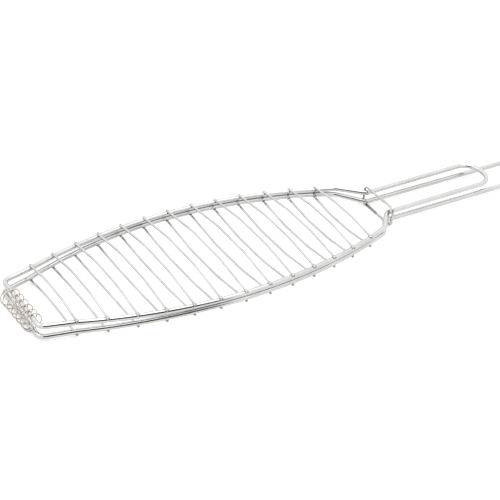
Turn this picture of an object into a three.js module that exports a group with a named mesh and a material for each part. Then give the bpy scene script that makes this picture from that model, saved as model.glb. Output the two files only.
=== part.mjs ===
// A hinged wire grill basket: two bowed rod frames with cross wires, joined at one end by a
// coil spring wound round both end bars, and held shut by a ring that slides along the handle.
// Millimetres. X runs from the hinge to the handle, Y across the basket, +Z up.
// Inside this file x = 0 is the first cross wire and z = 0 the plane between the two frames.

import * as THREE from 'three';

// Rod, wire and clearance.
const ROD_RADIUS = 2.4;
const WIRE_RADIUS = 1.1;
const PIECE_GAP = 0.3;

// Body outline, measured to the middle of the rod.
const END_BAR_X = -29.5;
const END_BAR_CORNER_Y = 34.5;
const END_BAR_BEND = 7;
const SIDE_ARC_RADIUS = 486;
const SIDE_ARC_MIDDLE_X = 154;
const SIDE_HALF_WIDTH = 66.7;
const SHOULDER_X = 320;
const SHOULDER_BEND = 10;
const NECK_X = 341;
const NECK_BEND = 9;

// The rods are bent by hand: on the -Y side the shoulder comes later and the neck sooner.
const LATE_SHOULDER = 3;
const EARLY_NECK = 2;

// Heights: the basket arches a little along its length, and its two frames touch along the
// middle of the body and stand apart at the hinge and at the neck.
const ARCH_TOP_X = 150;
const ARCH_CURVE = 5.2e-5;
const TOUCH_HALF_HEIGHT = ROD_RADIUS + PIECE_GAP / 2;
const HINGE_TOUCH_X = 132;
const HINGE_HALF_HEIGHT = 5.4;
const NECK_TOUCH_X = 300;
const NECK_HALF_HEIGHT = 4.6;
const SPREAD_POWER = 1.48;

// Handles: the long one belongs to the lower frame, the short one to the upper.
const LONG_HANDLE_HALF_WIDTH = 16.7;
const LONG_HANDLE_END_X = 640;
const SHORT_HANDLE_HALF_WIDTH = 17.8;
const SHORT_HANDLE_END_X = 470.5;
const SHORT_HANDLE_RISE = 1.2;

// Cross wires. The bow of a wire is how far its flat middle stands off the middles of its rods.
// It grows with the basket's width. The first lower wires are bent the other way instead, and all
// the lower wires are welded a little askew.
const WIRES_PER_FRAME = 13;
const WIRE_PITCH = 25;
const LEAST_BOW = 2.9;
const FIRST_UPPER_BOW_PER_HALF_WIDTH = 0.082;
const UPPER_BOW_LOSS_PER_WIRE = 0.0018;
const LOWER_BOW_PER_HALF_WIDTH = 0.06;
const FIRST_LOWER_WIRE_LIFT = 5.4;
const LIFTED_LOWER_WIRES = 6;
const UPPER_WIRE_OVERHANG = 2.3;
const LOWER_WIRE_OVERHANG = 2;
const LOWER_WIRE_SKEW = 0.01;
const WIRE_SEAT = 4;
const WIRE_FLAT_SHARE = 1 / 3;
const WIRE_BEND = 20;

// Hinge spring: open turns in the middle, the last part of a turn closed up at each end. It sits a
// little nearer the -Y side and leans away from the basket towards the +Y side.
const SPRING_WIRE_RADIUS = 0.5;
const SPRING_RADIUS = 8.6;
const SPRING_TURNS = 6.5;
const SPRING_OPEN_TURNS = 5;
const SPRING_PITCH = 7.75;
const SPRING_END_PITCH = 1;
const SPRING_MIDDLE_Y = -0.6;
const SPRING_BACK = 0.3;
const SPRING_LEAN = 0.035;

// Latch ring.
const RING_X = 342.8;
const RING_WIRE_RADIUS = 1.2;
const RING_CLEARANCE = 0.3;
const RING_SIDE_CLEARANCE = 0.8;
const RING_BEND = 3.5;
const RING_BUTT_GAP = 0.4;

// Facets.
const ROD_SIDES = 12;
const WIRE_SIDES = 8;
const SPRING_SIDES = 6;
const SPRING_STATIONS_PER_TURN = 24;
const SIDE_ARC_STEPS = 12;
const BEND_STEP = THREE.MathUtils.degToRad(18);

const ALONG = new THREE.Vector3(1, 0, 0);
const ACROSS = new THREE.Vector3(0, 1, 0);
const UP = new THREE.Vector3(0, 0, 1);

const rodSteel = new THREE.MeshStandardMaterial({ color: 0xc9ccce, roughness: 0.22, metalness: 1 });
const wireSteel = new THREE.MeshStandardMaterial({ color: 0xc2c5c6, roughness: 0.3, metalness: 1 });
const springSteel = new THREE.MeshStandardMaterial({ color: 0xb3ab9f, roughness: 0.4, metalness: 1 });

/** A path through given stations. One flat of its section always faces the direction flatNormal. */
class StationPath extends THREE.Curve {
  constructor(stations, flatNormal, sides, closed) {
    super();
    this.stations = stations;
    this.flatNormal = flatNormal;
    this.sides = sides;
    this.steps = closed ? stations.length : stations.length - 1;
    this.closed = closed;
  }

  station(index) {
    const count = this.stations.length;
    const wrapped = (index + count) % count;
    return this.stations[this.closed ? wrapped : Math.min(Math.max(index, 0), count - 1)];
  }

  getPoint(t, target = new THREE.Vector3()) {
    return target.copy(this.station(Math.round(t * this.steps)));
  }

  getPointAt(t, target) {
    return this.getPoint(t, target);
  }

  computeFrenetFrames(segments) {
    const frames = { tangents: [], normals: [], binormals: [] };
    const halfFacet = Math.PI / this.sides;
    for (let index = 0; index <= segments; index += 1) {
      const here = this.station(index);
      const arriving = here.clone().sub(this.station(index - 1)).normalize();
      const leaving = this.station(index + 1).clone().sub(here).normalize();
      const tangent = arriving.add(leaving).normalize();
      const flat = this.flatNormal.clone().projectOnPlane(tangent).normalize();
      const side = new THREE.Vector3().crossVectors(tangent, flat);
      const normal = flat.multiplyScalar(Math.cos(halfFacet));
      normal.addScaledVector(side, Math.sin(halfFacet));
      frames.tangents.push(tangent);
      frames.normals.push(normal);
      frames.binormals.push(new THREE.Vector3().crossVectors(tangent, normal));
    }
    return frames;
  }
}

/** A bent rod with two cut ends. */
function openRod(stations, radius, sides, flatNormal) {
  const path = new StationPath(stations, flatNormal, sides, false);
  const corners = Array.from({ length: sides }, (_, corner) => (
    new THREE.Vector2(radius, 0).rotateAround(new THREE.Vector2(), 2 * Math.PI * corner / sides)
  ));
  return new THREE.ExtrudeGeometry(new THREE.Shape(corners), {
    steps: path.steps,
    extrudePath: path,
  });
}

/** A rod bent round until its two ends are welded together. */
function closedRod(stations, radius, sides, flatNormal) {
  const path = new StationPath(stations, flatNormal, sides, true);
  return new THREE.TubeGeometry(path, path.steps, radius, sides, true);
}

/** Points along a bend of the given radius that replaces the corner between two others. */
function bendPoints(before, corner, after, radius) {
  const toBefore = before.clone().sub(corner).normalize();
  const toAfter = after.clone().sub(corner).normalize();
  const turn = Math.PI - Math.acos(THREE.MathUtils.clamp(toBefore.dot(toAfter), -1, 1));
  const reach = radius * Math.tan(turn / 2);
  const inward = toBefore.clone().add(toAfter).normalize();
  const centre = corner.clone().addScaledVector(inward, radius / Math.cos(turn / 2));
  const spoke = corner.clone().addScaledVector(toBefore, reach).sub(centre);
  const direction = Math.sign(toAfter.cross(toBefore));
  const steps = Math.max(2, Math.ceil(turn / BEND_STEP));
  const points = [];
  for (let step = 0; step <= steps; step += 1) {
    const angle = direction * turn * step / steps;
    points.push(spoke.clone().rotateAround(new THREE.Vector2(), angle).add(centre));
  }
  return points;
}

/** Replaces each corner that has a bend radius by a round bend. Corners are [x, y, bend radius]. */
function roundCorners(corners, closed) {
  const points = corners.map(([x, y]) => new THREE.Vector2(x, y));
  const count = points.length;
  return points.flatMap((point, index) => {
    const bend = corners[index][2];
    const isEnd = !closed && (index === 0 || index === count - 1);
    if (isEnd || !bend) {
      return [point];
    }
    return bendPoints(points[(index + count - 1) % count], point, points[(index + 1) % count], bend);
  });
}

/** Half width of a frame, to the middle of the rod, along its curved side. */
function sideHalfWidth(x) {
  const offset = x - SIDE_ARC_MIDDLE_X;
  return SIDE_HALF_WIDTH - SIDE_ARC_RADIUS + Math.sqrt(SIDE_ARC_RADIUS ** 2 - offset ** 2);
}

/** Height of the plane midway between the two frames. */
function middleHeight(x) {
  return -ARCH_CURVE * (Math.min(x, NECK_X) - ARCH_TOP_X) ** 2;
}

/** Half the distance between the middles of the two frames' rods. */
function rodHalfHeight(x) {
  const atHinge = Math.max((HINGE_TOUCH_X - x) / (HINGE_TOUCH_X - END_BAR_X), 0);
  const atNeck = Math.max((Math.min(x, NECK_X) - NECK_TOUCH_X) / (NECK_X - NECK_TOUCH_X), 0);
  return TOUCH_HALF_HEIGHT
    + (HINGE_HALF_HEIGHT - TOUCH_HALF_HEIGHT) * atHinge ** SPREAD_POWER
    + (NECK_HALF_HEIGHT - TOUCH_HALF_HEIGHT) * atNeck ** SPREAD_POWER;
}

/** Height of the rod's middle: side is 1 on the upper frame and -1 on the lower. */
function rodHeight(side, x) {
  const alongHandle = Math.max(x - NECK_X, 0) / (SHORT_HANDLE_END_X - NECK_X);
  const rise = side > 0 ? SHORT_HANDLE_RISE * alongHandle : 0;
  return middleHeight(x) + side * rodHalfHeight(x) + rise;
}

/** The closed outline of one frame, seen from above. */
function frameOutline(handleHalfWidth, handleEndX) {
  const lastWireX = (WIRES_PER_FRAME - 1) * WIRE_PITCH;
  const side = (shoulderX, neckX) => {
    const corners = [[END_BAR_X, END_BAR_CORNER_Y, END_BAR_BEND]];
    for (let step = 0; step <= SIDE_ARC_STEPS; step += 1) {
      const x = lastWireX * step / SIDE_ARC_STEPS;
      corners.push([x, sideHalfWidth(x)]);
    }
    corners.push([shoulderX, sideHalfWidth(shoulderX), SHOULDER_BEND]);
    corners.push([neckX, handleHalfWidth, NECK_BEND]);
    corners.push([handleEndX, handleHalfWidth, handleHalfWidth - 1]);
    return corners;
  };
  const plusSide = side(SHOULDER_X, NECK_X);
  const minusSide = side(SHOULDER_X + LATE_SHOULDER, NECK_X - EARLY_NECK)
    .map(([x, y, bend]) => [x, -y, bend])
    .reverse();
  return roundCorners([...plusSide, ...minusSide], true);
}

/** One frame: side is 1 for the upper frame and -1 for the lower. */
function frameGeometry(side, handleHalfWidth, handleEndX) {
  const stations = frameOutline(handleHalfWidth, handleEndX).map((point) => (
    new THREE.Vector3(point.x, point.y, rodHeight(side, point.x))
  ));
  return closedRod(stations, ROD_RADIUS, ROD_SIDES, UP);
}

/** Bow of one cross wire, away from the other frame: side is 1 on the upper frame and -1 on the lower. */
function wireBow(side, index) {
  const rodY = sideHalfWidth(index * WIRE_PITCH);
  if (side > 0) {
    return LEAST_BOW + (FIRST_UPPER_BOW_PER_HALF_WIDTH - UPPER_BOW_LOSS_PER_WIRE * index) * rodY;
  }
  const lift = FIRST_LOWER_WIRE_LIFT * Math.max(1 - index / LIFTED_LOWER_WIRES, 0);
  return LEAST_BOW + LOWER_BOW_PER_HALF_WIDTH * rodY - lift;
}

/** One cross wire, its ends lying on the outside of its own frame's rods. */
function crossWireGeometry(side, index) {
  const x = index * WIRE_PITCH;
  const rodY = sideHalfWidth(x);
  const endY = rodY + (side > 0 ? UPPER_WIRE_OVERHANG : LOWER_WIRE_OVERHANG);
  const skew = side > 0 ? 0 : LOWER_WIRE_SKEW;
  const seat = ROD_RADIUS + PIECE_GAP + WIRE_RADIUS;
  const half = [
    [endY, seat],
    [rodY - WIRE_SEAT, seat, WIRE_BEND],
    [endY * WIRE_FLAT_SHARE, wireBow(side, index), WIRE_BEND],
  ];
  const otherHalf = half.map(([y, height, bend]) => [-y, height, bend]).reverse();
  const stations = roundCorners([...half, ...otherHalf], false).map((point) => (
    new THREE.Vector3(x - skew * point.x, point.x, rodHeight(side, x) + side * point.y)
  ));
  return openRod(stations, WIRE_RADIUS, WIRE_SIDES, UP);
}

/** The left-handed coil spring wound round both end bars, its near end below them. */
function springGeometry() {
  const count = Math.round(SPRING_TURNS * SPRING_STATIONS_PER_TURN);
  const stations = [];
  for (let index = 0; index <= count; index += 1) {
    const turns = index / SPRING_STATIONS_PER_TURN;
    const fromMiddle = turns - SPRING_TURNS / 2;
    const open = Math.max(-SPRING_OPEN_TURNS / 2, Math.min(SPRING_OPEN_TURNS / 2, fromMiddle));
    const y = SPRING_MIDDLE_Y + open * SPRING_PITCH + (fromMiddle - open) * SPRING_END_PITCH;
    const angle = -Math.PI / 2 - 2 * Math.PI * turns;
    stations.push(new THREE.Vector3(
      END_BAR_X - SPRING_BACK - SPRING_LEAN * y + SPRING_RADIUS * Math.cos(angle),
      y,
      middleHeight(END_BAR_X) + SPRING_RADIUS * Math.sin(angle),
    ));
  }
  return openRod(stations, SPRING_WIRE_RADIUS, SPRING_SIDES, ACROSS);
}

/** The oblong ring round all four rods of the two handles, its ends butted in the bottom wire. */
function latchRingGeometry() {
  const room = ROD_RADIUS + RING_CLEARANCE + RING_WIRE_RADIUS;
  const sideRoom = ROD_RADIUS + RING_SIDE_CLEARANCE + RING_WIRE_RADIUS;
  const halfWidth = SHORT_HANDLE_HALF_WIDTH + sideRoom;
  const bottom = rodHeight(-1, RING_X) - room;
  const top = rodHeight(1, SHORT_HANDLE_END_X) + room;
  const corners = [
    [RING_BUTT_GAP / 2, bottom],
    [halfWidth, bottom, RING_BEND],
    [halfWidth, top, RING_BEND],
    [-halfWidth, top, RING_BEND],
    [-halfWidth, bottom, RING_BEND],
    [-RING_BUTT_GAP / 2, bottom],
  ];
  const stations = roundCorners(corners, false).map(({ x, y }) => new THREE.Vector3(RING_X, x, y));
  return openRod(stations, RING_WIRE_RADIUS, WIRE_SIDES, ALONG);
}

function addPiece(parent, name, geometry, material) {
  const mesh = new THREE.Mesh(geometry, material);
  mesh.name = name;
  parent.add(mesh);
}

const basket = new THREE.Group();

const lowerHalf = new THREE.Group();
addPiece(lowerHalf, 'lower_frame',
  frameGeometry(-1, LONG_HANDLE_HALF_WIDTH, LONG_HANDLE_END_X), rodSteel);
addPiece(lowerHalf, 'hinge_spring', springGeometry(), springSteel);

const upperHalf = new THREE.Group();
addPiece(upperHalf, 'upper_frame',
  frameGeometry(1, SHORT_HANDLE_HALF_WIDTH, SHORT_HANDLE_END_X), rodSteel);

for (let index = 0; index < WIRES_PER_FRAME; index += 1) {
  const number = String(index + 1).padStart(2, '0');
  addPiece(lowerHalf, `lower_wire_${number}`, crossWireGeometry(-1, index), wireSteel);
  addPiece(upperHalf, `upper_wire_${number}`, crossWireGeometry(1, index), wireSteel);
}

const latch = new THREE.Group();
addPiece(latch, 'latch_ring', latchRingGeometry(), wireSteel);

basket.add(lowerHalf, upperHalf, latch);

// The origin is the middle of the underside of the whole basket's bounding box.
basket.updateMatrixWorld(true);
const bounds = new THREE.Box3().setFromObject(basket, true);
const centre = bounds.getCenter(new THREE.Vector3());
basket.position.set(-centre.x, -centre.y, -bounds.min.z);

export default basket;
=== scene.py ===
"""The looks of a hinged wire grill basket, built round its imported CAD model.

Two bowed rod frames carry resistance-welded cross wires. A coil spring joins their end bars, and an
oblong ring slides along the handle. Sizes are millimetres in the basket's own frame, where x = 0 is
the first cross wire and z = 0 the plane between the two frames. place() turns them into metres in
the CAD model's frame.
"""

import math

import bpy
import numpy as np
from mathutils import Matrix, Vector


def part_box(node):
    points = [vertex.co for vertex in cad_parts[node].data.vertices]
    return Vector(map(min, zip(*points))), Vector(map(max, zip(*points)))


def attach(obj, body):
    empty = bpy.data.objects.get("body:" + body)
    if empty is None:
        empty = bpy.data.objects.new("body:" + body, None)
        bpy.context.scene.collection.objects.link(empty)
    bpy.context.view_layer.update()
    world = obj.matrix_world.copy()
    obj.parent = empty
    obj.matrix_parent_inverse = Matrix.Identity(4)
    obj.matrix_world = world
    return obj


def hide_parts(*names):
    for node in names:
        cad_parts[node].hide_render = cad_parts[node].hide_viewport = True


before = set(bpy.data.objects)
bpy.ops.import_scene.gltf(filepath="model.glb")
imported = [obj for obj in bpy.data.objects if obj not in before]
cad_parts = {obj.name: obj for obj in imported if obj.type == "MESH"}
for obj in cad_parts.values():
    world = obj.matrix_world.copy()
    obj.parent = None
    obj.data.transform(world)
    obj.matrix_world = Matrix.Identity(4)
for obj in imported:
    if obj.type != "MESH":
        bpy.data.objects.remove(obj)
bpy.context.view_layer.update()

MM = 0.001

# Rod and wire.
ROD_RADIUS = 2.4
WIRE_RADIUS = 1.1

# Body outline, measured to the middle of the rod.
END_BAR_X = -29.5
END_BAR_CORNER_Y = 34.5
END_BAR_BEND = 7
SIDE_ARC_RADIUS = 486
SIDE_ARC_MIDDLE_X = 154
SIDE_HALF_WIDTH = 66.7
SHOULDER_X = 320
SHOULDER_BEND = 10
NECK_X = 341
NECK_BEND = 9

# The rods are bent by hand: on the -Y side the shoulder comes later and the neck sooner.
LATE_SHOULDER = 3
EARLY_NECK = 2

# Heights of the two frames.
ARCH_TOP_X = 150
ARCH_CURVE = 5.2e-5
TOUCH_HALF_HEIGHT = 2.55
HINGE_TOUCH_X = 132
HINGE_HALF_HEIGHT = 5.4
NECK_TOUCH_X = 300
NECK_HALF_HEIGHT = 4.6
SPREAD_POWER = 1.48

# Handles.
LONG_HANDLE_HALF_WIDTH = 16.7
LONG_HANDLE_END_X = 640
SHORT_HANDLE_HALF_WIDTH = 17.8
SHORT_HANDLE_END_X = 470.5
SHORT_HANDLE_RISE = 1.2

# Cross wires. The welds sink them a little way into the rods.
WIRES_PER_FRAME = 13
WIRE_PITCH = 25
WIRE_SEAT = 2.6
UPPER_WIRE_OVERHANG = 2.3
LOWER_WIRE_OVERHANG = 2.0
LOWER_WIRE_SKEW = 0.01
WIRE_STRAIGHT_AT_ROD = 4
WIRE_FLAT_SHARE = 1 / 3
WIRE_BEND = 60
FIRST_UPPER_BOW = 0.082
UPPER_BOW_LOSS_PER_WIRE = 0.0018
LOWER_BOW = 0.060
LOWER_BOW_BASE = 2.9
FIRST_LOWER_WIRE_LIFT = 5.4
LIFTED_LOWER_WIRES = 6
WELD_BLEND = 1.7
HEAT_REACH = 0.45

# Hinge spring.
SPRING_WIRE_RADIUS = 0.5
SPRING_RADIUS = 8.6
SPRING_TURNS = 6.5
SPRING_OPEN_TURNS = 5
SPRING_PITCH = 7.75
SPRING_END_PITCH = 1
SPRING_MIDDLE_Y = -0.6
SPRING_BACK = 0.3
SPRING_LEAN = 0.035

# Latch ring.
RING_X = 342.8
RING_WIRE_RADIUS = 1.2
RING_CLEARANCE = 0.3
RING_SIDE_CLEARANCE = 0.8
RING_BEND = 3.5
RING_BUTT_GAP = 0.4

# A sheared wire end, from its rim inwards: share of the radius, push out as a share of the radius,
# and how bare the cut is.
CUT_END_STEPS = ((0.86, 0.14, 0.3), (0.8, 0.14, 1), (0.45, 0.06, 1))
CUT_END_MIDDLE = 0.03

# Fineness of the meshes.
ROD_SIDES = 28
WIRE_SIDES = 24
SPRING_SIDES = 14
ROD_STEP = 1.8
WIRE_STEP = 1.0
WELD_STEP = 0.35
RING_STEP = 0.7
SPRING_STEPS_PER_TURN = 56
BEND_STEP = math.radians(4)
ARC_STEP = 5
HEIGHT_EASING_PASSES = 12
FILLET_HALVINGS = 14

UP = np.array([0.0, 0.0, 1.0])
ALONG = np.array([1.0, 0.0, 0.0])
ACROSS = np.array([0.0, 1.0, 0.0])


# ---------------------------------------------------------------- places in the frame

def side_half_width(x):
    """Half width of a frame, to the middle of the rod, along its curved side."""
    offset = x - SIDE_ARC_MIDDLE_X
    return SIDE_HALF_WIDTH - SIDE_ARC_RADIUS + math.sqrt(SIDE_ARC_RADIUS ** 2 - offset ** 2)


def middle_height(x):
    """Height of the plane midway between the two frames."""
    return -ARCH_CURVE * (min(x, NECK_X) - ARCH_TOP_X) ** 2


def rod_half_height(x):
    """Half the distance between the middles of the two frames' rods."""
    at_hinge = max((HINGE_TOUCH_X - x) / (HINGE_TOUCH_X - END_BAR_X), 0)
    at_neck = max((min(x, NECK_X) - NECK_TOUCH_X) / (NECK_X - NECK_TOUCH_X), 0)
    hinge_rise = (HINGE_HALF_HEIGHT - TOUCH_HALF_HEIGHT) * at_hinge ** SPREAD_POWER
    neck_rise = (NECK_HALF_HEIGHT - TOUCH_HALF_HEIGHT) * at_neck ** SPREAD_POWER
    return TOUCH_HALF_HEIGHT + hinge_rise + neck_rise


def rod_height(side, x):
    """Height of the rod's middle: side is 1 on the upper frame and -1 on the lower."""
    along_handle = max(x - NECK_X, 0) / (SHORT_HANDLE_END_X - NECK_X)
    rise = SHORT_HANDLE_RISE * along_handle if side > 0 else 0
    return middle_height(x) + side * rod_half_height(x) + rise


RING_BOTTOM = rod_height(-1, RING_X) - ROD_RADIUS - RING_CLEARANCE - RING_WIRE_RADIUS
RING_TOP = rod_height(1, SHORT_HANDLE_END_X) + ROD_RADIUS + RING_CLEARANCE + RING_WIRE_RADIUS

first_wire_low, first_wire_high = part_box("upper_wire_01")
ring_low, ring_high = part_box("latch_ring")
ORIGIN = np.array([
    (first_wire_low.x + first_wire_high.x) / 2,
    (first_wire_low.y + first_wire_high.y) / 2,
    ring_low.z - (RING_BOTTOM - RING_WIRE_RADIUS) * MM,
])


def place(points):
    """Basket millimetres to metres in the CAD model's frame."""
    return np.asarray(points, float) * MM + ORIGIN


# ---------------------------------------------------------------- lines that rods follow

def turned(vector, angle):
    """A flat vector turned anticlockwise."""
    c, s = math.cos(angle), math.sin(angle)
    return np.array([c * vector[0] - s * vector[1], s * vector[0] + c * vector[1]])


def bend_points(before, corner, after, radius):
    """Points along a bend that replaces the corner between two others."""
    to_before = (before - corner) / np.linalg.norm(before - corner)
    to_after = (after - corner) / np.linalg.norm(after - corner)
    turn = math.pi - math.acos(max(-1.0, min(1.0, float(to_before @ to_after))))
    if turn < 1e-4:
        return [corner]
    inward = to_before + to_after
    inward = inward / np.linalg.norm(inward)
    centre = corner + inward * radius / math.cos(turn / 2)
    spoke = corner + to_before * radius * math.tan(turn / 2) - centre
    direction = math.copysign(1, to_after[0] * to_before[1] - to_after[1] * to_before[0])
    steps = max(3, math.ceil(turn / BEND_STEP))
    return [centre + turned(spoke, direction * turn * step / steps) for step in range(steps + 1)]


def round_corners(corners, closed):
    """Replaces each corner that has a bend radius by a round bend. Corners are (a, b, bend radius)."""
    points = [np.array(corner[:2], float) for corner in corners]
    count = len(points)
    rounded = []
    for index, point in enumerate(points):
        bend = corners[index][2]
        is_end = not closed and index in (0, count - 1)
        if is_end or not bend:
            rounded.append(point)
        else:
            before, after = points[index - 1], points[(index + 1) % count]
            rounded.extend(bend_points(before, point, after, bend))
    return np.array(rounded)


def respaced(points, step, closed):
    """The same line with evenly spaced points."""
    line = np.vstack([points, points[:1]]) if closed else points
    lengths = np.concatenate([[0], np.cumsum(np.linalg.norm(np.diff(line, axis=0), axis=1))])
    count = max(2, round(lengths[-1] / step))
    wanted = np.linspace(0, lengths[-1], count + 1)
    if closed:
        wanted = wanted[:-1]
    return np.column_stack([np.interp(wanted, lengths, line[:, axis]) for axis in range(line.shape[1])])


def eased(values, passes):
    """Values along a closed line with their kinks rounded off."""
    for _ in range(passes):
        values = values / 2 + (np.roll(values, 1) + np.roll(values, -1)) / 4
    return values


def frame_line(side, handle_half_width, handle_end_x):
    """The closed line of one frame's rod, starting in the middle of its end bar."""
    last_wire_x = (WIRES_PER_FRAME - 1) * WIRE_PITCH

    def half(shoulder_x, neck_x):
        corners = [(END_BAR_X, END_BAR_CORNER_Y, END_BAR_BEND)]
        corners += [(x, side_half_width(x), 0) for x in range(0, last_wire_x + 1, ARC_STEP)]
        corners.append((shoulder_x, side_half_width(shoulder_x), SHOULDER_BEND))
        corners.append((neck_x, handle_half_width, NECK_BEND))
        corners.append((handle_end_x, handle_half_width, handle_half_width - 1))
        return corners

    plus_half = half(SHOULDER_X, NECK_X)
    minus_half = half(SHOULDER_X + LATE_SHOULDER, NECK_X - EARLY_NECK)
    minus_half = [(x, -y, bend) for x, y, bend in reversed(minus_half)]
    corners = [(END_BAR_X, 0, 0)] + plus_half + minus_half
    flat = respaced(round_corners(corners, True), ROD_STEP, True)
    heights = eased(np.array([rod_height(side, x) for x in flat[:, 0]]), HEIGHT_EASING_PASSES)
    return np.column_stack([flat, heights])


def wire_bow(side, index):
    """How far the flat middle of a cross wire stands off its rods' middles."""
    rod_y = side_half_width(index * WIRE_PITCH)
    if side > 0:
        return LOWER_BOW_BASE + (FIRST_UPPER_BOW - UPPER_BOW_LOSS_PER_WIRE * index) * rod_y
    lift = FIRST_LOWER_WIRE_LIFT * max(1 - index / LIFTED_LOWER_WIRES, 0)
    return LOWER_BOW_BASE + LOWER_BOW * rod_y - lift


def wire_line(side, index):
    """The line of one cross wire, from its +Y end to its -Y end."""
    x = index * WIRE_PITCH
    rod_y = side_half_width(x)
    end_y = rod_y + (UPPER_WIRE_OVERHANG if side > 0 else LOWER_WIRE_OVERHANG)
    half = [
        (end_y, WIRE_SEAT, 0),
        (rod_y - WIRE_STRAIGHT_AT_ROD, WIRE_SEAT, WIRE_BEND),
        (end_y * WIRE_FLAT_SHARE, wire_bow(side, index), WIRE_BEND),
    ]
    other_half = [(-y, height, bend) for y, height, bend in reversed(half)]
    line = respaced(round_corners(half + other_half, False), WELD_STEP, False)
    from_rod = np.abs(np.abs(line[:, 0]) - rod_y)
    every = round(WIRE_STEP / WELD_STEP)
    kept = (from_rod < ROD_RADIUS + WELD_BLEND) | (np.arange(len(line)) % every == 0)
    kept[[0, -1]] = True
    line = line[kept]
    heights = rod_height(side, x) + side * line[:, 1]
    return np.column_stack([x - wire_skew(side) * line[:, 0], line[:, 0], heights])


def wire_skew(side):
    """How far a cross wire runs askew, per millimetre across the basket."""
    return 0 if side > 0 else LOWER_WIRE_SKEW


def weld_point(side, index, end):
    """Where a cross wire meets its rod: end is 1 at the +Y side and -1 at the -Y side."""
    x = index * WIRE_PITCH
    y = end * side_half_width(x)
    return np.array([x - wire_skew(side) * y, y, rod_height(side, x) + side * ROD_RADIUS])


def rod_direction(side, index, end):
    """The direction of the rod at a weld."""
    x = index * WIRE_PITCH
    width_change = side_half_width(x + 1) - side_half_width(x - 1)
    height_change = rod_height(side, x + 1) - rod_height(side, x - 1)
    direction = np.array([2, end * width_change, height_change])
    return direction / np.linalg.norm(direction)


def spring_line():
    """The line of the hinge spring, wound round both end bars."""
    count = round(SPRING_TURNS * SPRING_STEPS_PER_TURN)
    turns = np.arange(count + 1) / SPRING_STEPS_PER_TURN
    from_middle = turns - SPRING_TURNS / 2
    open_turns = np.clip(from_middle, -SPRING_OPEN_TURNS / 2, SPRING_OPEN_TURNS / 2)
    y = SPRING_MIDDLE_Y + open_turns * SPRING_PITCH + (from_middle - open_turns) * SPRING_END_PITCH
    angle = -math.pi / 2 - 2 * math.pi * turns
    return np.column_stack([
        END_BAR_X - SPRING_BACK - SPRING_LEAN * y + SPRING_RADIUS * np.cos(angle),
        y,
        middle_height(END_BAR_X) + SPRING_RADIUS * np.sin(angle),
    ])


def ring_line():
    """The line of the latch ring, its two ends butted in the bottom wire."""
    half_width = SHORT_HANDLE_HALF_WIDTH + ROD_RADIUS + RING_SIDE_CLEARANCE + RING_WIRE_RADIUS
    corners = [
        (RING_BUTT_GAP / 2, RING_BOTTOM, 0),
        (half_width, RING_BOTTOM, RING_BEND),
        (half_width, RING_TOP, RING_BEND),
        (-half_width, RING_TOP, RING_BEND),
        (-half_width, RING_BOTTOM, RING_BEND),
        (-RING_BUTT_GAP / 2, RING_BOTTOM, 0),
    ]
    line = respaced(round_corners(corners, False), RING_STEP, False)
    return np.column_stack([np.full(len(line), float(RING_X)), line])


# ---------------------------------------------------------------- rod meshes

def line_frames(line, reference, closed):
    """Two directions across a line at each point, and the distance along it."""
    if closed:
        tangents = np.roll(line, -1, axis=0) - np.roll(line, 1, axis=0)
    else:
        tangents = np.gradient(line, axis=0)
    tangents = tangents / np.linalg.norm(tangents, axis=1, keepdims=True)
    first = reference - tangents * (tangents @ reference)[:, None]
    first = first / np.linalg.norm(first, axis=1, keepdims=True)
    second = np.cross(tangents, first)
    steps = np.linalg.norm(np.diff(line, axis=0), axis=1)
    return first, second, tangents, np.concatenate([[0], np.cumsum(steps)])


def ring_directions(first, second, sides):
    """Unit directions from the line out to each corner of each ring."""
    angles = 2 * math.pi * np.arange(sides) / sides
    return (first[:, None, :] * np.cos(angles)[None, :, None]
            + second[:, None, :] * np.sin(angles)[None, :, None])


def weld_radii(line, directions, radius, welds):
    """Distance from the line to the surface, swelling into a fillet where the wire meets a rod."""
    radii = np.full(directions.shape[:2], float(radius))
    for rod_middle, rod_along in welds:
        low = np.full_like(radii, radius)
        high = np.full_like(radii, radius + WELD_BLEND)

        def union(distance):
            points = line[:, None, :] + directions * distance[..., None] - rod_middle
            across = points - (points @ rod_along)[..., None] * rod_along
            to_wire = distance - radius
            to_rod = np.linalg.norm(across, axis=2) - ROD_RADIUS
            blend = np.maximum(WELD_BLEND - np.abs(to_wire - to_rod), 0) / WELD_BLEND
            return np.minimum(to_wire, to_rod) - blend ** 2 * WELD_BLEND / 4

        buried = union(high) < 0
        for _ in range(FILLET_HALVINGS):
            middle = (low + high) / 2
            inside = union(middle) < 0
            low = np.where(inside, middle, low)
            high = np.where(inside, high, middle)
        radii = np.where(buried, radii, np.maximum(radii, low))
    return radii


def heat_nearness(points, heat_points):
    """1 where the wire got hot, falling to 0 within a millimetre or so."""
    if len(heat_points) == 0:
        return np.zeros(len(points))
    nearest = np.min([np.linalg.norm(points - hot, axis=1) for hot in heat_points], axis=0)
    return np.exp(-(np.maximum(nearest - WIRE_RADIUS, 0) / HEAT_REACH) ** 2)


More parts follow.
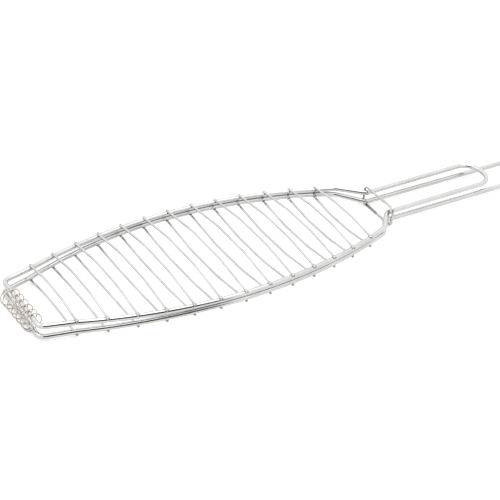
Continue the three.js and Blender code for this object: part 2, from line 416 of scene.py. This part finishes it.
def rod_piece(name, line, radius, sides, reference, closed, welds=(), heat_points=()):
    """A rod or wire along a line, as one closed mesh with chamfered cut ends or none."""
    first, second, tangents, distances = line_frames(line, reference, closed)
    directions = ring_directions(first, second, sides)
    radii = weld_radii(line, directions, radius, welds)
    rings = line[:, None, :] + directions * radii[..., None]
    vertices = rings.reshape(-1, 3)
    straight = np.column_stack([
        np.tile(np.cos(2 * math.pi * np.arange(sides) / sides), len(line)) * radius,
        np.tile(np.sin(2 * math.pi * np.arange(sides) / sides), len(line)) * radius,
        np.repeat(distances, sides),
    ])
    cut = np.zeros(len(vertices))
    faces = []
    spans = len(line) if closed else len(line) - 1
    for span in range(spans):
        here, there = span * sides, (span + 1) % len(line) * sides
        for side in range(sides):
            beside = (side + 1) % sides
            faces.append((here + side, here + beside, there + beside, there + side))
    if not closed:
        for end, outward in ((0, -1), (len(line) - 1, 1)):
            vertices, straight, cut = add_cut_end(
                vertices, straight, cut, faces, line[end], tangents[end] * outward,
                directions[end], radius, end * sides, outward)
    mesh = bpy.data.meshes.new(name)
    mesh.from_pydata(place(vertices).tolist(), [], faces)
    mesh.validate()
    mesh.shade_smooth()
    store(mesh, "straight", "FLOAT_VECTOR", straight * MM)
    store(mesh, "cut_end", "FLOAT", cut)
    store(mesh, "weld_heat", "FLOAT", heat_nearness(vertices, heat_points))
    piece = bpy.data.objects.new(name, mesh)
    bpy.context.scene.collection.objects.link(piece)
    return piece


def add_cut_end(vertices, straight, cut, faces, centre, outward, directions, radius, start, order):
    """Closes one end of a wire: a small chamfer, a slightly dished sheared face and a middle point."""
    sides = len(directions)
    previous = start
    for share, push, bare in CUT_END_STEPS:
        ring = centre + directions * radius * share + outward * push * radius
        base = len(vertices)
        vertices = np.vstack([vertices, ring])
        straight = np.vstack([straight, straight[start:start + sides]])
        cut = np.concatenate([cut, np.full(sides, bare)])
        for side in range(sides):
            beside = (side + 1) % sides
            face = (previous + side, previous + beside, base + beside, base + side)
            faces.append(face if order > 0 else face[::-1])
        previous = base
    vertices = np.vstack([vertices, centre + outward * CUT_END_MIDDLE * radius])
    straight = np.vstack([straight, straight[start]])
    cut = np.concatenate([cut, [1.0]])
    for side in range(sides):
        face = (previous + side, previous + (side + 1) % sides, len(vertices) - 1)
        faces.append(face if order > 0 else face[::-1])
    return vertices, straight, cut


def store(mesh, name, kind, values):
    """Keeps a value for each vertex, for the materials to read."""
    attribute = mesh.attributes.new(name, kind, "POINT")
    field = "vector" if kind == "FLOAT_VECTOR" else "value"
    attribute.data.foreach_set(field, np.asarray(values, np.float32).ravel())


# ---------------------------------------------------------------- materials

def add_node(tree, kind, inputs=None, **settings):
    """Adds a node. Each input is given a number, a colour or another node's output."""
    node = tree.nodes.new(kind)
    for name, value in settings.items():
        setattr(node, name, value)
    for key, value in (inputs or {}).items():
        if isinstance(value, bpy.types.NodeSocket):
            tree.links.new(value, node.inputs[key])
        else:
            node.inputs[key].default_value = value
    return node


def noise(tree, vector, scale, detail):
    """A smooth noise value."""
    node = add_node(tree, "ShaderNodeTexNoise", {"Vector": vector, "Scale": scale, "Detail": detail})
    return node.outputs["Fac"]


def scaled(tree, vector, factors):
    """A vector stretched along each axis."""
    node = add_node(tree, "ShaderNodeVectorMath", {0: vector, 1: factors}, operation="MULTIPLY")
    return node.outputs["Vector"]


def math_node(tree, operation, first, second):
    """One sum on two values."""
    return add_node(tree, "ShaderNodeMath", {0: first, 1: second}, operation=operation).outputs[0]


def ranged(tree, value, low, high, to_low, to_high):
    """A value moved from one range to another and kept inside it."""
    inputs = {"Value": value, "From Min": low, "From Max": high, "To Min": to_low, "To Max": to_high}
    return add_node(tree, "ShaderNodeMapRange", inputs, interpolation_type="SMOOTHSTEP").outputs[0]


def mixed(tree, share, first, second):
    """A mix of two colours."""
    node = add_node(tree, "ShaderNodeMix", data_type="RGBA")
    for index, value in ((0, share), (6, first), (7, second)):
        if isinstance(value, bpy.types.NodeSocket):
            tree.links.new(value, node.inputs[index])
        else:
            node.inputs[index].default_value = value
    return node.outputs[2]


# Drawn metal. Scales are per metre, depths in metres. The two streaky patterns lie along the wire,
# so theirs are across, across and along it.
DRAWING_LINE_SCALES = (5200, 5200, 45)
SCUFF_SCALES = (900, 900, 160)
SMUDGE_SCALE = 48
HEAT_PATCH_SCALE = 420
RIPPLE_SCALE = 620
GRAIN_SCALE = 3800
RIPPLE_DEPTH = 0.00003
GRAIN_DEPTH = 0.00012
HEAT_ROUGHNESS = 0.2
CUT_ROUGHNESS = 0.35
BARE_STEEL = (0.25, 0.24, 0.23, 1)


def drawn_metal(name, bright, dull, heat, shine, lines):
    """Plated drawn wire: fine lines along the wire, faint plating ripple, smudges and heat marks.

    bright, dull and heat are its colours where it is clean, smudged and burnt by a weld, shine is its
    lowest and highest roughness, and lines is how deep the drawing lines are, in metres.
    """
    material = bpy.data.materials.new(name)
    material.use_nodes = True
    tree = material.node_tree
    tree.nodes.clear()
    where = add_node(tree, "ShaderNodeTexCoord").outputs["Object"]
    straight = add_node(tree, "ShaderNodeAttribute", attribute_name="straight").outputs["Vector"]
    near_heat = add_node(tree, "ShaderNodeAttribute", attribute_name="weld_heat").outputs["Fac"]
    cut_end = add_node(tree, "ShaderNodeAttribute", attribute_name="cut_end").outputs["Fac"]

    drawing_lines = noise(tree, scaled(tree, straight, DRAWING_LINE_SCALES), 1, 3)
    scuffs = noise(tree, scaled(tree, straight, SCUFF_SCALES), 1, 5)
    smudges = noise(tree, where, SMUDGE_SCALE, 4)
    ripple = noise(tree, where, RIPPLE_SCALE, 2)
    grains = noise(tree, where, GRAIN_SCALE, 2)

    patches = ranged(tree, noise(tree, where, HEAT_PATCH_SCALE, 4), 0.3, 0.62, 0.35, 1)
    heat_share = math_node(tree, "MULTIPLY", near_heat, patches)
    tone = mixed(tree, ranged(tree, smudges, 0.35, 0.65, 0, 1), dull, bright)
    tone = mixed(tree, heat_share, tone, heat)
    tone = mixed(tree, cut_end, tone, BARE_STEEL)

    wear = math_node(tree, "MULTIPLY", ranged(tree, scuffs, 0.52, 0.72, 0, 1), 0.5)
    wear = math_node(tree, "ADD", wear, ranged(tree, smudges, 0.3, 0.7, 0, 0.5))
    roughness = ranged(tree, wear, 0, 1, shine[0], shine[1])
    roughness = math_node(tree, "ADD", roughness, math_node(tree, "MULTIPLY", heat_share, HEAT_ROUGHNESS))
    roughness = math_node(tree, "ADD", roughness, math_node(tree, "MULTIPLY", cut_end, CUT_ROUGHNESS))

    bump = add_node(tree, "ShaderNodeBump", {"Height": drawing_lines, "Strength": 0.5, "Distance": lines})
    bump = add_node(tree, "ShaderNodeBump", {
        "Height": ripple, "Strength": 0.35, "Distance": RIPPLE_DEPTH, "Normal": bump.outputs["Normal"]})
    rough_spots = math_node(tree, "MULTIPLY", grains, math_node(tree, "MAXIMUM", near_heat, cut_end))
    bump = add_node(tree, "ShaderNodeBump", {
        "Height": rough_spots, "Strength": 0.6, "Distance": GRAIN_DEPTH, "Normal": bump.outputs["Normal"]})

    shader = add_node(tree, "ShaderNodeBsdfPrincipled", {
        "Base Color": tone, "Metallic": 1.0, "Roughness": roughness, "Normal": bump.outputs["Normal"]})
    output = add_node(tree, "ShaderNodeOutputMaterial")
    tree.links.new(shader.outputs[0], output.inputs["Surface"])
    return material


def floor_material():
    """A matt white light table with a trace of mottling: lit from above, and a little from below."""
    material = bpy.data.materials.new("pale_floor")
    material.use_nodes = True
    tree = material.node_tree
    shader = tree.nodes["Principled BSDF"]
    where = add_node(tree, "ShaderNodeTexCoord").outputs["Object"]
    mottle = ranged(tree, noise(tree, where, 6, 3), 0.3, 0.7, 0, 1)
    tone = mixed(tree, mottle, (0.62, 0.62, 0.615, 1), (0.635, 0.635, 0.635, 1))
    tree.links.new(tone, shader.inputs["Base Color"])
    shader.inputs["Roughness"].default_value = 0.9
    shader.inputs["Specular IOR Level"].default_value = 0.1
    shader.inputs["Emission Color"].default_value = (1, 1, 1, 1)
    shader.inputs["Emission Strength"].default_value = FLOOR_GLOW
    return material


ROD_METAL = drawn_metal("chromed_rod", (0.525, 0.521, 0.514, 1), (0.475, 0.471, 0.464, 1),
                        (0.36, 0.345, 0.33, 1), (0.09, 0.20), 0.000003)
WIRE_METAL = drawn_metal("chromed_wire", (0.535, 0.535, 0.535, 1), (0.475, 0.475, 0.475, 1),
                         (0.30, 0.285, 0.27, 1), (0.12, 0.26), 0.000003)
# The ring's metal is a darker copy of the wire's: painted shade for the dark creases where the ring wraps
# the handle rods. Its heat colour is the darker, browner tone of the +Y half of the bottom wire.
SHADED_RING_METAL = drawn_metal("ring_wire", (0.48, 0.475, 0.46, 1), (0.41, 0.405, 0.39, 1),
                         (0.17, 0.15, 0.135, 1), (0.12, 0.26), 0.000003)
SPRING_METAL = drawn_metal("spring_steel", (0.56, 0.50, 0.43, 1), (0.47, 0.415, 0.355, 1),
                           (0.30, 0.27, 0.23, 1), (0.20, 0.36), 0.000004)


# ---------------------------------------------------------------- pieces

def finish_piece(piece, body, node, material):
    """Gives a piece its material and its body, and hides the CAD node that it stands for."""
    piece.data.materials.append(material)
    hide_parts(node)
    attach(piece, body)


def build_frame(side, name, node, body, handle_half_width, handle_end_x):
    """One frame's rod with heat marks at its welds."""
    welds = [weld_point(side, index, end) for index in range(WIRES_PER_FRAME) for end in (1, -1)]
    line = frame_line(side, handle_half_width, handle_end_x)
    rod = rod_piece(name, line, ROD_RADIUS, ROD_SIDES, UP, True, heat_points=welds)
    finish_piece(rod, body, node, ROD_METAL)


def build_cross_wire(side, index, name, node, body):
    """One cross wire with a weld fillet at each rod."""
    ends = (1, -1)
    inward = np.array([0.0, 0.0, side * ROD_RADIUS])
    points = [weld_point(side, index, end) for end in ends]
    welds = [(point - inward, rod_direction(side, index, end)) for point, end in zip(points, ends)]
    wire = rod_piece(name, wire_line(side, index), WIRE_RADIUS, WIRE_SIDES, ALONG, False, welds, points)
    finish_piece(wire, body, node, WIRE_METAL)


build_frame(-1, "lower_frame_rod", "lower_frame", "lower_half",
            LONG_HANDLE_HALF_WIDTH, LONG_HANDLE_END_X)
build_frame(1, "upper_frame_rod", "upper_frame", "upper_half",
            SHORT_HANDLE_HALF_WIDTH, SHORT_HANDLE_END_X)
for wire_index in range(WIRES_PER_FRAME):
    number = f"{wire_index + 1:02d}"
    build_cross_wire(-1, wire_index, f"lower_cross_wire_{number}", f"lower_wire_{number}", "lower_half")
    build_cross_wire(1, wire_index, f"upper_cross_wire_{number}", f"upper_wire_{number}", "upper_half")

spring = rod_piece("spring_coil", spring_line(), SPRING_WIRE_RADIUS, SPRING_SIDES, ACROSS, False)
finish_piece(spring, "lower_half", "hinge_spring", SPRING_METAL)
# The ring's ends butt in its bottom wire, and the +Y half of that wire, from the butt outwards, is
# coloured darker and browner.
darkened_bottom_points = [(RING_X, y, RING_BOTTOM) for y in np.arange(RING_BUTT_GAP / 2, SHORT_HANDLE_HALF_WIDTH)]
ring = rod_piece("sliding_ring", ring_line(), RING_WIRE_RADIUS, WIRE_SIDES, ALONG, False,
                 heat_points=darkened_bottom_points)
finish_piece(ring, "latch", "latch_ring", SHADED_RING_METAL)


# ---------------------------------------------------------------- floor, light and camera

FLOOR_SIZE = 9.0
CAMERA_AZIMUTH = math.radians(-36.64)
CAMERA_ELEVATION = math.radians(34.94)
CAMERA_ROLL = math.radians(6.828)
CAMERA_DISTANCE = 1.3584
CAMERA_LENS = 109.22
CAMERA_TARGET = Vector(place([190.04, -11.52, 0]))

# Light from all round, and a dark card beside the hinge end, which only the chrome shows.
HORIZON_LIGHT = 1.24
ZENITH_LIGHT = 1.6
CARD_LEFT_X = -350
CARD_RIGHT_X = 310
CARD_Y = -450
CARD_BOTTOM = 2
CARD_TOP = 600
FLOOR_GLOW = 0.36


def build_floor():
    """A flat floor that the basket lies on."""
    half = FLOOR_SIZE / 2
    corners = [(-half, -half, 0), (half, -half, 0), (half, half, 0), (-half, half, 0)]
    mesh = bpy.data.meshes.new("floor")
    mesh.from_pydata(corners, [], [(0, 1, 2, 3)])
    mesh.materials.append(floor_material())
    floor = bpy.data.objects.new("floor", mesh)
    bpy.context.scene.collection.objects.link(floor)


def build_card():
    """A matt dark card hung just above the floor beside the basket. Only reflections show it."""
    corners = place([
        (CARD_LEFT_X, CARD_Y, CARD_BOTTOM),
        (CARD_RIGHT_X, CARD_Y, CARD_BOTTOM),
        (CARD_RIGHT_X, CARD_Y, CARD_TOP),
        (CARD_LEFT_X, CARD_Y, CARD_TOP),
    ]).tolist()
    mesh = bpy.data.meshes.new("dark_card")
    mesh.from_pydata(corners, [], [(0, 1, 2, 3)])
    material = bpy.data.materials.new("dark_card")
    material.use_nodes = True
    tree = material.node_tree
    where = add_node(tree, "ShaderNodeTexCoord").outputs["Object"]
    fibres = ranged(tree, noise(tree, where, 60, 3), 0.3, 0.7, 0, 1)
    shader = tree.nodes["Principled BSDF"]
    tree.links.new(mixed(tree, fibres, (0.035, 0.03, 0.028, 1), (0.05, 0.044, 0.04, 1)),
                   shader.inputs["Base Color"])
    shader.inputs["Roughness"].default_value = 0.95
    shader.inputs["Specular IOR Level"].default_value = 0.1
    mesh.materials.append(material)
    card = bpy.data.objects.new("dark_card", mesh)
    card.visible_camera = False
    card.visible_diffuse = False
    card.visible_shadow = False
    bpy.context.scene.collection.objects.link(card)


def build_world():
    """A pale studio all round, brighter overhead."""
    world = bpy.data.worlds.new("studio")
    bpy.context.scene.world = world
    world.use_nodes = True
    tree = world.node_tree
    tree.nodes.clear()
    direction = add_node(tree, "ShaderNodeTexCoord").outputs["Generated"]
    upward = add_node(tree, "ShaderNodeSeparateXYZ", {"Vector": direction}).outputs["Z"]
    sky = ranged(tree, upward, 0.0, 0.8, HORIZON_LIGHT, ZENITH_LIGHT)
    background = add_node(tree, "ShaderNodeBackground", {"Color": (1, 1, 1, 1), "Strength": sky})
    output = add_node(tree, "ShaderNodeOutputWorld")
    tree.links.new(background.outputs[0], output.inputs["Surface"])


def soft_light(name, location, width, height, energy):
    """A softbox aimed at the middle of the basket."""
    light = bpy.data.lights.new(name, "AREA")
    light.shape = "RECTANGLE"
    light.size = width
    light.size_y = height
    light.energy = energy
    box = bpy.data.objects.new(name, light)
    box.location = location
    box.rotation_euler = (-Vector(location)).to_track_quat("-Z", "Y").to_euler()
    box.visible_camera = False
    bpy.context.scene.collection.objects.link(box)


def build_camera():
    """The camera, aimed at a point of the basket and rolled a little."""
    out = math.cos(CAMERA_ELEVATION)
    back = Vector((math.sin(CAMERA_AZIMUTH) * out, -math.cos(CAMERA_AZIMUTH) * out,
                   math.sin(CAMERA_ELEVATION)))
    level = Vector((0, 0, 1)).cross(back).normalized()
    upright = back.cross(level)
    right = level * math.cos(CAMERA_ROLL) + upright * math.sin(CAMERA_ROLL)
    up = back.cross(right)
    data = bpy.data.cameras.new("camera")
    data.lens = CAMERA_LENS
    data.clip_start = 0.05
    camera = bpy.data.objects.new("camera", data)
    turn = Matrix((right, up, back)).transposed().to_4x4()
    camera.matrix_world = Matrix.Translation(CAMERA_TARGET + back * CAMERA_DISTANCE) @ turn
    bpy.context.scene.collection.objects.link(camera)
    bpy.context.scene.camera = camera


build_floor()
build_card()
build_world()
soft_light("overhead_softbox", (0.15, -0.2, 1.9), 1.6, 1.1, 9.4)
soft_light("side_softbox", (-1.3, 0.4, 1.5), 1.0, 0.8, 4.0)
build_camera()
bpy.context.scene.view_settings.view_transform = "Standard"
